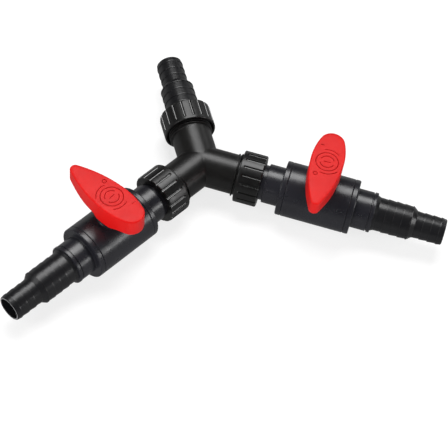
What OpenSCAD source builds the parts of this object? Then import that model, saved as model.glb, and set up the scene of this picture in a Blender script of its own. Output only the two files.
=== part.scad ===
// Hose splitter: a Y fitting with one hose-tail inlet and two ball-valve outlets,
// held by three union nuts. The arms lie in one level plane, the valve stems stand up.

/* [Arms] */
// Angle between neighbouring arms, degrees
arm_angle = 120; // [110:5:130]
// Outside diameter of the Y tube
tube_d = 30.3; // [29:0.1:30.3]
// Water passage through the Y tube
tube_bore_d = 23; // [20:0.5:24]
// Distance from the centre of the Y to the face of each port
port_face = 39.5; // [39.3:0.1:40]
// First thread ridge on each port, from the centre of the Y
thread_start = 27; // [27:0.1:27.5]

/* [Union nut] */
// Outside diameter of the nut
nut_d = 39.3; // [38:0.1:42]
// End of the nut nearest the Y, along the arm
nut_start = 30.3; // [29.5:0.1:30.3]
// End of the nut away from the Y, along the arm
nut_end = 48; // [47.5:0.1:50]
// Number of grip slots round the nut
slot_count = 18; // [12:1:24]
// Width of a grip slot
slot_width = 2; // [1:0.1:2.5]
// Depth of a grip slot
slot_depth = 1.3; // [0.5:0.1:1.4]
// Turn of the inlet nut about its arm, degrees
inlet_nut_turn = 15.2; // [0:0.1:20]
// Turn of the left nut about its arm, degrees
left_nut_turn = 0.5; // [0:0.1:20]
// Turn of the right nut about its arm, degrees
right_nut_turn = 7.2; // [0:0.1:20]

/* [Ball valve] */
// Outside diameter of the valve body
valve_d = 41.3; // [40:0.1:44]
// Stem axis, measured along the arm from the centre of the Y
stem_at = 91.6; // [90:0.1:95]
// Length of the body shell between its two seams
shell_length = 48; // [46:0.5:50]
// Length of the collar at each end of the body
collar_length = 4.3; // [4:0.1:6]
// Diameter of the neck between nut and body
neck_d = 29.7; // [28:0.1:30]
// Diameter of the outlet socket
socket_d = 29.9; // [29:0.1:31]
// Outlet end of the socket, along the arm
socket_end_at = 135; // [134:0.1:137]
// Diameter of the ball
ball_d = 28; // [27:0.1:28.4]
// Hole through the ball
ball_bore_d = 17; // [14:0.5:17.5]
// Diameter of the stem
stem_d = 10; // [9:0.1:11]
// Tilt of the left valve about its arm, degrees
left_valve_tilt = 2.5; // [-5:0.5:5]
// Tilt of the right valve about its arm, degrees
right_valve_tilt = -2; // [-5:0.5:5]

/* [Hose tail] */
// Crest diameter of the small step, for 20 mm hose
small_barb_d = 20.5; // [20:0.1:21]
// Crest diameter of the large step, for 25 mm hose
large_barb_d = 25.8; // [25.2:0.1:26.4]
// Distance from one barb to the next
barb_pitch = 6.3; // [6:0.1:6.6]
// Step from the crest of a barb down to its root
barb_step = 0.45; // [0.2:0.05:0.6]
// Width of the flat land on each crest
barb_land = 0.7; // [0.5:0.1:1]
// Water passage through a hose tail
tail_bore_d = 16.6; // [15:0.1:17]
// Last large crest of an outlet tail, along the arm
outlet_shoulder = 162.2; // [161:0.1:165]
// Last large crest of the inlet tail, along the arm
inlet_shoulder = 71.5; // [70:0.1:75]

/* [Handle] */
// Height of the handle's top face above the pipe axis
handle_top = 43.9; // [43.5:0.1:48]
// Half of the widest part of the handle
handle_half_width = 12.4; // [12.2:0.1:14]
// Radius of the round tip
tip_radius = 4; // [2.5:0.1:4.5]
// Radius of the round heel
heel_radius = 9.5; // [9:0.1:11]
// Turn of the left handle away from closed, degrees
left_handle_turn = 3.5; // [0:0.5:20]
// Turn of the right handle away from closed, degrees
right_handle_turn = 0; // [0:0.5:20]

/* [Hidden] */

inlet_angle = 90;
left_angle = 90 + arm_angle;
right_angle = 90 - arm_angle;

black = [0.09, 0.09, 0.10];
anthracite = [0.20, 0.20, 0.23];
red = [0.90, 0.10, 0.09];
rubber = [0.04, 0.04, 0.04];
white = [0.93, 0.93, 0.90];
grey = [0.55, 0.56, 0.58];

round_fn = 120;
tube_r = tube_d / 2;
valve_r = valve_d / 2;
nut_r = nut_d / 2;

// G1 pipe thread, drawn as rings that stand half a pitch apart on port and nut
thread_pitch = 2.309;
thread_crest_r = 16.62;
thread_half_crest = 0.165;
thread_flank = 0.52;
port_ridges = 5;
nut_ridges = [2, 3, 4];
nut_minor_r = 15.3;
nut_major_r = 16.75;
nut_mouth = 1.5;
mouth_rim = 1.3;
rim_band = 2.6;
nut_round = 0.9;
port_chamfer = 0.4;

// Union: gasket, flange and the lip of the nut that draws them together
gasket_thickness = 2;
flange_from = port_face + gasket_thickness;
flange_thickness = 3.4;
flange_to = flange_from + flange_thickness;
flange_r = 14.9;
union_collar_r = 13.3;
lip_r = 13.6;
lip_from = flange_to + 0.05;
neck_from = 51.1;
valve_passage_r = 10;

// Ball valve, laid out from the stem axis
shell_from = stem_at - shell_length / 2;
shell_to = stem_at + shell_length / 2;
body_from = shell_from - collar_length;
body_to = shell_to + collar_length;
end_round = 1;
seam_chamfer = 0.4;
spigot_r = 17.5;
cavity_half = 8;
cavity_r = 16;
ball_r = ball_d / 2;
seat_gap = 0.1;
seat_inner_r = 9.2;
seat_outer_r = 12.4;
pocket_half = 13.3;
ring_cord = 1.8;
ring_gap = 0.04;
ring_half = pocket_half - ring_cord / 2;
seat_back = pocket_half - ring_cord;
seat_front = cavity_half + 0.2;

// Stem, boss and stops
stem_r = stem_d / 2;
stem_gap = 0.05;
boss_r = 10;
boss_top = 26;
stop_top = 29.2;
stop_inner_r = 7.8;
stop_play = 0.6;
quarter_turn = 90;
flange_pocket_r = 6.8;
flange_pocket_top = 16.2;
stem_flange_r = 6.5;
stem_flange_from = 14.35;
stem_flange_to = 16.1;
stem_square = stem_d * 0.7;
stem_top = 37.5;
blade_width = 4;
blade_from = 11;
slot_gap = 0.15;
groove_width = 2;
groove_depth = 1.85;
groove_heights = [18.8, 22.4];

// Outlet socket
socket_r = socket_d / 2;
lip_ring_r = socket_r + 0.3;
lip_ring_from = socket_end_at - 2.5;
socket_groove = 0.9;
lip_chamfer = 0.6;
tail_spigot_r = 12.5;
tail_spigot_from = 118;

// Hose tail steps, measured back from or on past the last large crest
large_r = large_barb_d / 2;
small_r = small_barb_d / 2;
cone_length = 4.1;
collar_past_nut = 0.4;
root_step = 1.2;
root_cone = 2.2;
small_first = 9.8;
tail_past_shoulder = 26.8;
tip_r = small_r - barb_step - 0.05;
tip_chamfer = 0.5;
tail_bore_r = tail_bore_d / 2;
large_count = 4;
small_count = 3;

// Handle
shell_wall = 1.8;
top_wall = 2.2;
rim_bevel = 1.5;
tip_arc_r = 98;
heel_arc_r = 55;
widest_at = -3;
hub_r = 7.5;
hub_from = 26.8;
lug_r = 9.8;
lug_angle = 18;
lug_at = 45;
skirt_tip = 31.6;
skirt_side = 29.4;
skirt_dip = 26.4;
skirt_heel = 29;
lug_top = stop_top + 3;
rib_from = 37.5;
hub_top = handle_top - top_wall + 0.1;
rib_half = 0.7;
socket_gap = 0.1;
emblem_r = 8.3;
emblem_half_line = 0.35;
emblem_height = 0.3;
slice = 0.01;
past_ends = 60;

// The arms' centre is moved so that the whole part is centred on the origin
outlet_tip = outlet_shoulder + tail_past_shoulder;
inlet_tip = inlet_shoulder + tail_past_shoulder;
outlet_reach = (outlet_tip - tip_chamfer) * cos(arm_angle) - tip_r * sin(arm_angle);
centre_y = -(inlet_tip + outlet_reach) / 2;

module on_arm(angle)
    translate([0, centre_y, valve_r])
        rotate([0, 0, angle])
            children();

// An outlet arm's own axes, turned about the arm so that +Z is its valve's stem
module on_valve(angle)
    on_arm(angle)
        rotate([angle == left_angle ? left_valve_tilt : right_valve_tilt, 0, 0])
            children();

// Solid of revolution about the arm; points are [radius, distance along the arm]
module turned(points)
    rotate([0, 90, 0])
        rotate_extrude($fn = round_fn)
            polygon(points);

module arm_cylinder(r, from, to)
    translate([from, 0, 0])
        rotate([0, 90, 0])
            cylinder(r = r, h = to - from, $fn = round_fn);

module upright(r, from, to)
    translate([0, 0, from])
        cylinder(r = r, h = to - from, $fn = round_fn);

module ring_torus(major, minor)
    rotate_extrude($fn = round_fn)
        translate([major, 0])
            circle(r = minor, $fn = 40);

function arc(centre, r, a0, a1, steps = 8) =
    [for (i = [0:steps]) centre + r * [cos(a0 + (a1 - a0) * i / steps), sin(a0 + (a1 - a0) * i / steps)]];

// ---- Y body -------------------------------------------------------------

function ridge(at, root, crest, reach) =
    let (side = thread_half_crest + thread_flank * reach)
    [[root, at - side], [crest, at - thread_half_crest], [crest, at + thread_half_crest], [root, at + side]];

function port_ridge_points() =
    [for (i = [0:port_ridges - 1])
        each ridge(thread_start + i * thread_pitch, tube_r, thread_crest_r, thread_crest_r - tube_r)];

module y_port()
    turned(concat(
        [[0, 0], [tube_r, 0]],
        port_ridge_points(),
        [[tube_r, port_face - port_chamfer], [tube_r - port_chamfer, port_face], [0, port_face]]));

module y_body()
    color(black)
        difference() {
            union()
                for (angle = [inlet_angle, left_angle, right_angle])
                    on_arm(angle) y_port();
            for (angle = [inlet_angle, left_angle, right_angle])
                on_arm(angle) arm_cylinder(tube_bore_d / 2, 0, port_face + 1);
        }

// ---- Union nuts and gaskets ---------------------------------------------

function nut_ridge_points() =
    [for (i = [len(nut_ridges) - 1:-1:0])
        let (at = thread_start + (nut_ridges[i] + 0.5) * thread_pitch,
             side = thread_half_crest + thread_flank * (nut_major_r - nut_minor_r))
        each [[nut_major_r, at + side], [nut_minor_r, at + thread_half_crest],
              [nut_minor_r, at - thread_half_crest], [nut_major_r, at - side]]];

module nut_blank()
    turned(concat(
        [[lip_r, nut_end], [lip_r, lip_from], [nut_minor_r, lip_from], [nut_minor_r, port_face],
         [nut_major_r, port_face - port_chamfer]],
        nut_ridge_points(),
        [[nut_major_r, nut_start + nut_mouth], [nut_major_r + 0.6, nut_start + nut_mouth - 0.6],
         [nut_r - mouth_rim, nut_start]],
        arc([nut_r - nut_round, nut_start + nut_round], nut_round, -90, 0),
        arc([nut_r - nut_round, nut_end - nut_round], nut_round, 0, 90)));

module grip_slot()
    translate([0, 0, nut_r - slot_depth]) {
        translate([nut_start + rim_band + slot_width / 2, 0, 0])
            cylinder(d = slot_width, h = 2 * slot_depth, $fn = 24);
        translate([nut_start + rim_band + slot_width / 2, -slot_width / 2, 0])
            cube([nut_end - nut_start, slot_width, 2 * slot_depth]);
    }

module union_nut(angle, turn)
    color(black)
        on_arm(angle)
            difference() {
                nut_blank();
                for (i = [0:slot_count - 1])
                    rotate([-turn - i * 360 / slot_count, 0, 0]) grip_slot();
            }

module gasket(angle)
    color(rubber)
        on_arm(angle)
            difference() {
                arm_cylinder(flange_r, port_face, flange_from);
                arm_cylinder(tube_bore_d / 2, port_face - 1, flange_from + 1);
            }

module inlet_union_nut() union_nut(inlet_angle, inlet_nut_turn);
module left_union_nut() union_nut(left_angle, left_nut_turn);
module right_union_nut() union_nut(right_angle, right_nut_turn);
module inlet_gasket() gasket(inlet_angle);
module left_gasket() gasket(left_angle);
module right_gasket() gasket(right_angle);

// ---- Hose tails ---------------------------------------------------------

// A barb steps up on its valve side and tapers away towards the hose end
function barbs(first, count, crest) =
    [for (i = [0:count - 1])
        let (at = first + i * barb_pitch)
        each [[crest - barb_step, at], [crest, at], [crest, at + barb_land]]];

function tail_points(shoulder) =
    let (tip = shoulder + tail_past_shoulder)
    concat(
        barbs(shoulder - (large_count - 1) * barb_pitch, large_count, large_r),
        [[small_r, shoulder + cone_length]],
        barbs(shoulder + small_first, small_count, small_r),
        [[tip_r, tip - tip_chamfer], [tip_r - tip_chamfer, tip], [tail_bore_r, tip]]);

module inlet_hose_tail()
    color(black)
        on_arm(inlet_angle)
            turned(concat(
                [[tail_bore_r, flange_from], [flange_r, flange_from], [flange_r, flange_to],
                 [union_collar_r, flange_to], [union_collar_r, nut_end + collar_past_nut],
                 [large_r - barb_step / 2, nut_end + 2 * collar_past_nut]],
                tail_points(inlet_shoulder)));

module outlet_tail(angle)
    color(black)
        on_arm(angle)
            turned(concat(
                [[tail_bore_r, tail_spigot_from], [tail_spigot_r, tail_spigot_from],
                 [tail_spigot_r, socket_end_at], [tail_spigot_r + root_step, socket_end_at],
                 [large_r - barb_step / 2, socket_end_at + root_cone]],
                tail_points(outlet_shoulder)));

module left_hose_tail() outlet_tail(left_angle);
module right_hose_tail() outlet_tail(right_angle);

// ---- Valve housing ------------------------------------------------------

// Passage of an end piece, from its open end to the pocket that holds seat and ring
function pocket_points(side) =
    [[seat_outer_r, stem_at + side * cavity_half],
     [seat_outer_r, stem_at + side * pocket_half],
     [valve_passage_r, stem_at + side * pocket_half]];

module union_end(angle)
    color(anthracite)
        on_arm(angle)
            turned(concat(
                [[valve_passage_r, flange_from], [flange_r, flange_from], [flange_r, flange_to],
                 [union_collar_r, flange_to], [union_collar_r, neck_from],
                 [neck_d / 2 - seam_chamfer, neck_from], [neck_d / 2, neck_from + seam_chamfer],
                 [neck_d / 2, body_from]],
                arc([valve_r - end_round, body_from + end_round], end_round, -90, 0),
                [[valve_r, shell_from - seam_chamfer], [valve_r - seam_chamfer, shell_from],
                 [spigot_r, shell_from], [spigot_r, stem_at - cavity_half]],
                pocket_points(-1)));

module socket_end(angle)
    color(anthracite)
        on_arm(angle)
            turned(concat(
                [[spigot_r, stem_at + cavity_half], [spigot_r, shell_to],
                 [valve_r - seam_chamfer, shell_to], [valve_r, shell_to + seam_chamfer]],
                arc([valve_r - end_round, body_to - end_round], end_round, 0, 90),
                [[socket_r, body_to], [socket_r, lip_ring_from - socket_groove],
                 [socket_r - lip_chamfer, lip_ring_from - socket_groove],
                 [socket_r - lip_chamfer, lip_ring_from],
                 [lip_ring_r, lip_ring_from], [lip_ring_r, socket_end_at - lip_chamfer],
                 [lip_ring_r - lip_chamfer, socket_end_at], [tail_spigot_r, socket_end_at],
                 [tail_spigot_r, tail_spigot_from], [valve_passage_r, tail_spigot_from],
                 [valve_passage_r, stem_at + pocket_half],
                 [seat_outer_r, stem_at + pocket_half], [seat_outer_r, stem_at + cavity_half]]));

// Upright wedge about the stem axis, centred on one angle
module wedge(r, at, angle, from, to)
    translate([0, 0, from])
        linear_extrude(to - from)
            polygon(concat([[0, 0]], arc([0, 0], r, at - angle / 2, at + angle / 2)));

// Ring on the boss, with a free stretch where the handle's lug travels from closed to open
module stop_ring()
    difference() {
        upright(boss_r, boss_top - 1, stop_top);
        upright(stop_inner_r, boss_top - 2, stop_top + 1);
        wedge(2 * boss_r, lug_at + 180 + quarter_turn / 2, quarter_turn + lug_angle + 2 * stop_play,
              boss_top, stop_top + 1);
    }

module valve_body(angle)
    color(anthracite)
        on_valve(angle)
            difference() {
                union() {
                    turned([
                        [0, shell_from], [valve_r - seam_chamfer, shell_from],
                        [valve_r, shell_from + seam_chamfer], [valve_r, shell_to - seam_chamfer],
                        [valve_r - seam_chamfer, shell_to], [0, shell_to]]);
                    translate([stem_at, 0, 0]) upright(boss_r, 0, boss_top);
                    translate([stem_at, 0, 0]) stop_ring();
                }
                arm_cylinder(spigot_r, shell_from - 1, stem_at - cavity_half);
                arm_cylinder(cavity_r, stem_at - cavity_half - 1, stem_at + cavity_half + 1);
                arm_cylinder(spigot_r, stem_at + cavity_half, shell_to + 1);
                translate([stem_at, 0, 0]) upright(flange_pocket_r, 0, flange_pocket_top);
                translate([stem_at, 0, 0]) upright(stem_r + stem_gap, 0, stop_top + 1);
            }

module seat(angle, side)
    color(white)
        on_valve(angle)
            difference() {
                turned([
                    [seat_inner_r, stem_at + side * seat_back], [seat_outer_r, stem_at + side * seat_back],
                    [seat_outer_r, stem_at + side * seat_front], [seat_inner_r, stem_at + side * seat_front]]);
                translate([stem_at, 0, 0]) sphere(r = ball_r + seat_gap, $fn = round_fn);
            }

module seat_orings(angle)
    color(rubber)
        on_arm(angle)
            for (side = [-1, 1])
                translate([stem_at + side * ring_half, 0, 0])
                    rotate([0, 90, 0])
                        ring_torus(seat_outer_r - ring_cord / 2 - ring_gap, ring_cord / 2);

module left_union_end() union_end(left_angle);
module left_valve_body() valve_body(left_angle);
module left_socket_end() socket_end(left_angle);
module left_seat_inner() seat(left_angle, -1);
module left_seat_outer() seat(left_angle, 1);
module left_seat_orings() seat_orings(left_angle);
module right_union_end() union_end(right_angle);
module right_valve_body() valve_body(right_angle);
module right_socket_end() socket_end(right_angle);
module right_seat_inner() seat(right_angle, -1);
module right_seat_outer() seat(right_angle, 1);
module right_seat_orings() seat_orings(right_angle);

// ---- Ball, stem and handle ----------------------------------------------

module on_stem(angle, turn)
    on_valve(angle)
        translate([stem_at, 0, 0])
            rotate([0, 0, turn])
                children();

// Closed: the hole lies across the pipe and the blade slot lies along it
module ball(angle, turn)
    color(white)
        on_stem(angle, turn)
            difference() {
                sphere(r = ball_r, $fn = round_fn);
                rotate([90, 0, 0])
                    cylinder(d = ball_bore_d, h = ball_d + 2, center = true, $fn = round_fn);
                translate([-ball_r, -blade_width / 2 - slot_gap, blade_from - slot_gap])
                    cube([ball_d, blade_width + 2 * slot_gap, ball_r]);
            }

module stem(angle, turn)
    color(grey)
        on_stem(angle, turn)
            difference() {
                union() {
                    translate([-stem_flange_r + 1, -blade_width / 2, blade_from])
                        cube([2 * stem_flange_r - 2, blade_width, stem_flange_from - blade_from + 0.1]);
                    upright(stem_flange_r, stem_flange_from, stem_flange_to);
                    upright(stem_r, stem_flange_from, hub_from - 0.3);
                    translate([-stem_square / 2, -stem_square / 2, boss_top - 2])
                        cube([stem_square, stem_square, stem_top - boss_top + 2]);
                }
                for (z = groove_heights)
                    difference() {
                        upright(stem_r + 1, z - groove_width / 2, z + groove_width / 2);
                        upright(stem_r - groove_depth, z - groove_width, z + groove_width);
                    }
            }

module stem_orings(angle, turn)
    color(rubber)
        on_stem(angle, turn)
            for (z = groove_heights)
                translate([0, 0, z])
                    ring_torus(stem_r - groove_depth + ring_cord / 2 + ring_gap, ring_cord / 2);

// Leaf outline made of arcs that meet smoothly: two long sides, a small tip and a broad heel.
// The tip points along +Y; an inset shrinks every arc about its own centre.
tip_side = tip_arc_r - handle_half_width;
heel_side = heel_arc_r - handle_half_width;
tip_at = widest_at + sqrt(pow(tip_arc_r - tip_radius, 2) - pow(tip_side, 2));
heel_at = widest_at - sqrt(pow(heel_arc_r - heel_radius, 2) - pow(heel_side, 2));
tip_turn = atan2(tip_at - widest_at, tip_side);
heel_turn = atan2(widest_at - heel_at, heel_side);

function leaf_points(inset) =
    concat(
        arc([-tip_side, widest_at], tip_arc_r - inset, 0, tip_turn, 14),
        arc([0, tip_at], tip_radius - inset, tip_turn, 180 - tip_turn, 10),
        arc([tip_side, widest_at], tip_arc_r - inset, 180 - tip_turn, 180, 14),
        arc([heel_side, widest_at], heel_arc_r - inset, 180, 180 + heel_turn, 8),
        arc([0, heel_at], heel_radius - inset, 180 + heel_turn, 360 - heel_turn, 16),
        arc([-heel_side, widest_at], heel_arc_r - inset, 360 - heel_turn, 360, 8));

module leaf(inset, from, to)
    translate([0, 0, from])
        linear_extrude(to - from)
            polygon(leaf_points(inset));

// Lower edge of the skirt: it falls slowly from the tip, steps down beside the hub so that it
// hides the stops, and rises again towards the heel. Each stretch is [where it starts, length].
side_fall = [38, 24];
dip_step = [7, 4];
heel_rise = [-7, 10];

function blend(stretch, y) = (1 - cos(180 * min(1, max(0, (stretch[0] - y) / stretch[1])))) / 2;
function skirt_bottom(y) =
    skirt_tip - (skirt_tip - skirt_side) * blend(side_fall, y)
    - (skirt_side - skirt_dip) * blend(dip_step, y)
    + (skirt_heel - skirt_dip) * blend(heel_rise, y);

module skirt_cut()
    rotate([90, 0, 90])
        linear_extrude(4 * handle_half_width, center = true)
            polygon(concat(
                [[past_ends, 0], [past_ends, skirt_tip]],
                [for (y = [side_fall[0]:-1:heel_rise[0] - heel_rise[1]]) [y, skirt_bottom(y)]],
                [[-past_ends, skirt_heel], [-past_ends, 0]]));

module handle_shell()
    difference() {
        union() {
            leaf(0, skirt_dip, handle_top - rim_bevel);
            hull() {
                leaf(0, handle_top - rim_bevel - slice, handle_top - rim_bevel);
                leaf(rim_bevel, handle_top - slice, handle_top);
            }
        }
        leaf(shell_wall, skirt_dip - 1, handle_top - top_wall);
        skirt_cut();
    }

module handle_hub()
    difference() {
        union() {
            upright(hub_r, hub_from, hub_top);
            intersection() {
                upright(lug_r, hub_from, lug_top);
                wedge(2 * lug_r, lug_at, lug_angle, hub_from, lug_top);
            }
            translate([-rib_half, heel_at - heel_radius + shell_wall / 2, rib_from])
                cube([2 * rib_half, tip_at - heel_at + heel_radius, hub_top - rib_from]);
        }
        translate([0, 0, hub_from - 1])
            linear_extrude(stem_top + 0.3 - hub_from + 1)
                square(stem_square + 2 * socket_gap, center = true);
    }

module emblem()
    difference() {
        upright(emblem_r + emblem_half_line, handle_top - 0.1, handle_top + emblem_height);
        upright(emblem_r - emblem_half_line, handle_top - 1, handle_top + 1);
    }

module handle(angle, turn)
    color(red)
        on_stem(angle, turn + 180) {
            handle_shell();
            handle_hub();
            emblem();
        }

module left_ball() ball(left_angle, left_handle_turn);
module left_stem() stem(left_angle, left_handle_turn);
module left_stem_orings() stem_orings(left_angle, left_handle_turn);
module left_handle() handle(left_angle, left_handle_turn);
module right_ball() ball(right_angle, right_handle_turn);
module right_stem() stem(right_angle, right_handle_turn);
module right_stem_orings() stem_orings(right_angle, right_handle_turn);
module right_handle() handle(right_angle, right_handle_turn);

y_body();
inlet_gasket();
left_gasket();
right_gasket();
inlet_union_nut();
left_union_nut();
right_union_nut();
inlet_hose_tail();
left_union_end();
left_valve_body();
left_socket_end();
left_hose_tail();
left_seat_inner();
left_seat_outer();
left_seat_orings();
left_ball();
left_stem();
left_stem_orings();
left_handle();
right_union_end();
right_valve_body();
right_socket_end();
right_hose_tail();
right_seat_inner();
right_seat_outer();
right_seat_orings();
right_ball();
right_stem();
right_stem_orings();
right_handle();
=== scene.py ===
"""Looks of the hose splitter: a Y fitting, three union nuts, two ball valves with red levers."""

import math

import bmesh
import bpy
import numpy as np
from mathutils import Matrix, Vector


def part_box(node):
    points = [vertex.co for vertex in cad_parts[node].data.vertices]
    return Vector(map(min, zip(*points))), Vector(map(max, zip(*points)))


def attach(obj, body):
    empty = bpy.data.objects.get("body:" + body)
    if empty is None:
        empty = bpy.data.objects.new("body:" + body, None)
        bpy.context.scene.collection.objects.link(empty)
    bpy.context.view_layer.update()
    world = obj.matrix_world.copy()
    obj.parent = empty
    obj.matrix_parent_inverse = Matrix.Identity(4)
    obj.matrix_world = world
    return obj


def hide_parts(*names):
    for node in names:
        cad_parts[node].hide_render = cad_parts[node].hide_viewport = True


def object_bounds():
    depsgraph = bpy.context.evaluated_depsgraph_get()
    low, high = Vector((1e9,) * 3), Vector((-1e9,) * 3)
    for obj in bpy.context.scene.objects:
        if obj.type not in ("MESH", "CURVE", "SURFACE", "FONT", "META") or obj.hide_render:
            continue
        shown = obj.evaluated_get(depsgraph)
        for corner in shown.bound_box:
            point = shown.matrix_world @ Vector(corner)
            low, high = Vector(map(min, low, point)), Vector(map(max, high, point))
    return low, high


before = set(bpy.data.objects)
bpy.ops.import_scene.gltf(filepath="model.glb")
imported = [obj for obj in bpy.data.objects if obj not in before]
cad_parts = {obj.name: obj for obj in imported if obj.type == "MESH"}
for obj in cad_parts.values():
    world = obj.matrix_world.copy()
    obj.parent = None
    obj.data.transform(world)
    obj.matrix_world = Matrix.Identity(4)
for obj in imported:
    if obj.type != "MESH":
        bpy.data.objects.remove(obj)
cad_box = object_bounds()

# ---- Driving sizes, in millimetres -------------------------------------------------
MM = 0.001
ARMS = {"inlet": 90, "left": 210, "right": 330}
PORT_FACE = 39.5
TUBE_R = 15.15
TUBE_BORE = 11.5
THREAD_CREST = 16.6
THREAD_PITCH = 2.309
THREAD_START = 26.4
THREAD_TURNS = 5
THREAD_HALF_FOOT = 0.93
PARTING_TURN = 0.014
PARTING_HEIGHT = 0.07

NUT_R = 19.65
NUT_FROM = 30.3
NUT_TO = 48.0
NUT_BORE = 17.3
NUT_LIP_BORE = 13.6
NUT_LIP_FROM = 45.0
NUT_RIM = 1.3
NUT_MOUTH = 1.6
NUT_THREAD_START = NUT_FROM + 2.9
NUT_THREAD_TURNS = 4.5
SLOTS = 18
SLOT_WIDTH = 2.2
SLOT_DEPTH = 1.05
SLOT_FROM = NUT_FROM + 2.6
SLOT_BOTTOM_R = NUT_R - SLOT_DEPTH - 0.1
NUT_TURN = {"inlet": 15.2, "left": 0.5, "right": 7.2}

FLANGE_R = 14.9
FLANGE_FROM = 41.5
FLANGE_TO = 44.9
UNION_COLLAR_R = 13.3
NECK_R = 14.85
NECK_FROM = 51.1
STEM_AT = 91.6
SHELL_FROM = 67.6
SHELL_TO = 115.6
BODY_FROM = 63.3
BODY_TO = 119.9
VALVE_R = 20.65
VALVE_PASSAGE = 10.0
SPIGOT_R = 17.5
CAVITY_R = 16.0
CAVITY_HALF = 8.0
POCKET_R = 12.4
POCKET_HALF = 13.3
SOCKET_R = 14.95
SOCKET_END = 135.0
SOCKET_LIP = 2.5
LIP_GROOVE = 0.9
LIP_GROOVE_DEPTH = 0.6
TAIL_SPIGOT_R = 12.5
TAIL_SPIGOT_FROM = 118.0
SEAM_HALF = 0.45
SEAM_DEPTH = 0.5
FACE_GAP = 0.02

LARGE_R = 12.9
SMALL_R = 10.25
BARB_PITCH = 6.3
BARB_STEP = 0.45
BARB_LAND = 0.7
TAIL_ROOT_R = LARGE_R - BARB_STEP / 2
SMALL_FROM = 4.1
SMALL_BARBS_FROM = 9.8
TAIL_BORE = 8.3
SHOULDER = {"inlet": 71.5, "left": 162.2, "right": 162.2}
TAIL_PAST_SHOULDER = 26.8
TIP_CHAMFER = 0.5

BOSS_R = 10.0
BOSS_TOP = 26.0
BOSS_FILLET = 1.6
STOP_TOP = 29.2
STOP_INNER_R = 7.8
STEM_HOLE_R = 5.05
FLANGE_POCKET_R = 6.8
FLANGE_POCKET_TOP = 16.2

STEM_TOP = 37.5
STEM_SOCKET_HALF = 3.6
QUARTER = 90.0
STOP_PLAY = 0.6
LUG_R = 9.8
LUG_ANGLE = 18.0
LUG_AT = 45.0

HANDLE_TOP = 43.9
HANDLE_WALL = 1.8
HANDLE_TOP_WALL = 2.2
HANDLE_RIM = 1.3
HANDLE_CROWN = 0.3
HALF_WIDTH = 12.4
TIP_R = 4.0
HEEL_R = 9.5
TIP_ARC = 98.0
HEEL_ARC = 55.0
WIDEST_AT = -3.0
SKIRT_TIP = 31.6
SKIRT_SIDE = 29.4
SKIRT_DIP = 26.4
SKIRT_HEEL = 29.0
SIDE_FALL = (38, 24)
DIP_STEP = (7, 4)
HEEL_RISE = (-7, 10)
RIB_FROM = 37.5
RIBS = ((-27, -7), (7, 36))
HUB_R = 7.5
HUB_FROM = 26.8
HUB_TO = HANDLE_TOP - 1.6
HANDLE_TURN = {"left": 3.5, "right": 0.0}
VALVE_TILT = {"left": 2.5, "right": -2.0}

MARK_RING_R = 8.3
MARK_INNER_R = 5.2
MARK_OUTER_R = 11.2
MARK_BAR_HALF = 2.6
OPEN_SIGN = (6.0, 13.0)
OPEN_SIGN_R = 1.5
CLOSED_SIGN = (6.6, -14.5)
CLOSED_SIGN_HALF = 1.4
MARK_SINK = 0.12
MARK_HEIGHT = 0.392

y_low, y_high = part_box("y_body")
CENTRE = Vector((0, y_high.y - PORT_FACE * MM, (y_low.z + y_high.z) / 2))
CENTRE_PLACE = Matrix.Translation(CENTRE)

# Patch of the barrel over which an upright hole's rim is spread: steps along a side, half angle
WINDOW_STEPS = 20
WINDOW_HALF = math.radians(50)

# Camera: seen from the front left, well above, a little rolled
CAMERA_AZIMUTH = -23.5
CAMERA_ELEVATION = 56.0
CAMERA_ROLL = 10.2
CAMERA_DISTANCE = 1206.9
CAMERA_LENS = 131.8
AIM = Vector((3.7, -55.1, 0.0))


# ---- Mesh helpers ------------------------------------------------------------------
class Shell:
    """Points and faces of closed surfaces, built up loop by loop in millimetres."""

    def __init__(self):
        self.points = []
        self.faces = []

    def loop(self, points):
        first = len(self.points)
        self.points.extend(tuple(float(v) for v in p) for p in points)
        return list(range(first, len(self.points)))

    def bridge(self, one, other):
        count = len(one)
        for i in range(count):
            j = (i + 1) % count
            self.faces.append((one[i], one[j], other[j], other[i]))

    def strip(self, loops, closed=False):
        """Bridges each loop to the next, and the last to the first if closed."""
        for one, other in zip(loops, loops[1:]):
            self.bridge(one, other)
        if closed:
            self.bridge(loops[-1], loops[0])

    def cap(self, loop, point):
        """Fan that closes a loop at one point."""
        pole = self.loop([point])[0]
        for i, index in enumerate(loop):
            self.faces.append((index, loop[(i + 1) % len(loop)], pole))


def rounded(corners, steps=4):
    """Outline through (a, b, fillet) corners, each fillet drawn as an arc."""
    outline = []
    for i, (a, b, fillet) in enumerate(corners):
        corner = np.array((a, b), float)
        if fillet <= 0:
            outline.append(corner)
            continue
        back = np.array(corners[i - 1][:2], float) - corner
        ahead = np.array(corners[(i + 1) % len(corners)][:2], float) - corner
        back /= np.linalg.norm(back)
        ahead /= np.linalg.norm(ahead)
        opening = math.acos(max(-1.0, min(1.0, float(back @ ahead))))
        if opening > math.radians(176):
            outline.append(corner)
            continue
        middle = (back + ahead) / np.linalg.norm(back + ahead)
        centre = corner + middle * fillet / math.sin(opening / 2)
        cut = fillet / math.tan(opening / 2)
        first = corner + back * cut - centre
        last = corner + ahead * cut - centre
        sweep = math.pi - opening
        for k in range(steps + 1):
            t = k / steps
            spoke = first * math.sin((1 - t) * sweep) + last * math.sin(t * sweep)
            outline.append(centre + spoke / math.sin(sweep))
    return outline


def turn_angles(count, parting=True):
    """Angles round an arm from its top, with close pairs where the mould parts, at both sides."""
    angles = [2 * math.pi * i / count for i in range(count)]
    if parting:
        for side in (math.pi / 2, 3 * math.pi / 2):
            angles = [a for a in angles if abs(a - side) > 3.5 * PARTING_TURN]
            angles += [side + k * PARTING_TURN for k in (-2, -1, 0, 1, 2)]
    return sorted(angles)


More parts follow.
